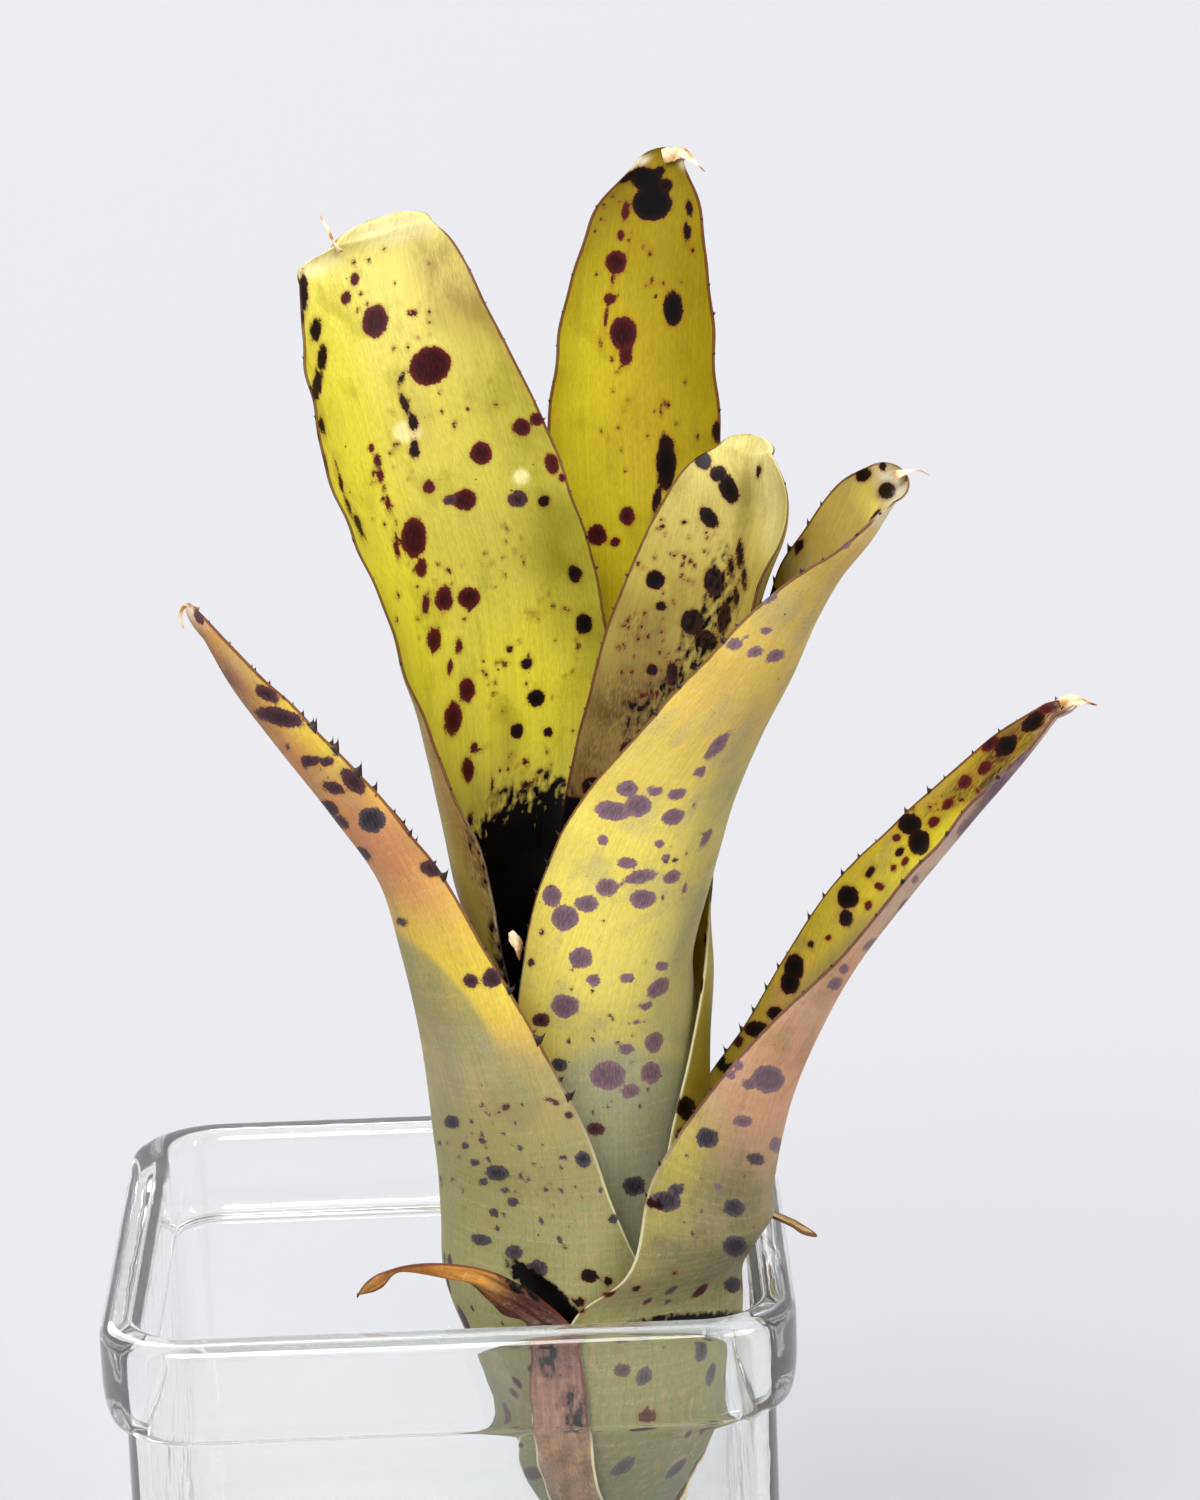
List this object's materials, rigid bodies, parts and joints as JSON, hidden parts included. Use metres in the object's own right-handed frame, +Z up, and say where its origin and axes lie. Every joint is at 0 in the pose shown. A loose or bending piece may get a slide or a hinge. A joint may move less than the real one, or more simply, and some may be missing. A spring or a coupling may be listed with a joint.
{
  "type": "potted bromeliad",
  "caption": "Young spotted tank bromeliad with a tube of spine-edged channelled leaves, standing in a square pressed-glass jar.",
  "frame": {"origin": "centre of the jar's flat underside", "axes": "+Z up; +Y away from the front, which is the side seen in the picture; +X to the right"},
  "size_m": [0.1453, 0.1, 0.249],
  "materials": {
    "jar_glass": "clear pressed glass with a faint green tint, smooth and fire-polished",
    "stem": "dry brown woody stolon with leaf scars",
    "old_leaf": "shrivelled dry orange-brown leaf, matt",
    "leaf_flushed": "firm leaf, orange and pink flush over yellow-green, grey scurf, dark purple spots",
    "leaf_yellow": "firm leaf, clear yellow turning grey-green below, purple-grey spots",
    "leaf_golden": "firm leaf, golden green with maroon-black spots, slight gloss",
    "leaf_lime": "firm leaf, lime yellow with maroon spots, slight gloss",
    "leaf_pale": "firm leaf, pale beige green with black blotches"
  },
  "bodies": {
    "root": {"jar": "jar_glass", "stem": "stem", "old_leaf_left": "old_leaf", "old_leaf_right": "old_leaf", "leaf_low_right": "leaf_flushed", "leaf_low_left": "leaf_flushed", "leaf_front": "leaf_yellow", "leaf_back_tall": "leaf_golden", "leaf_left_tall": "leaf_lime", "leaf_inner_right": "leaf_pale"}
  },
  "joints": []
}
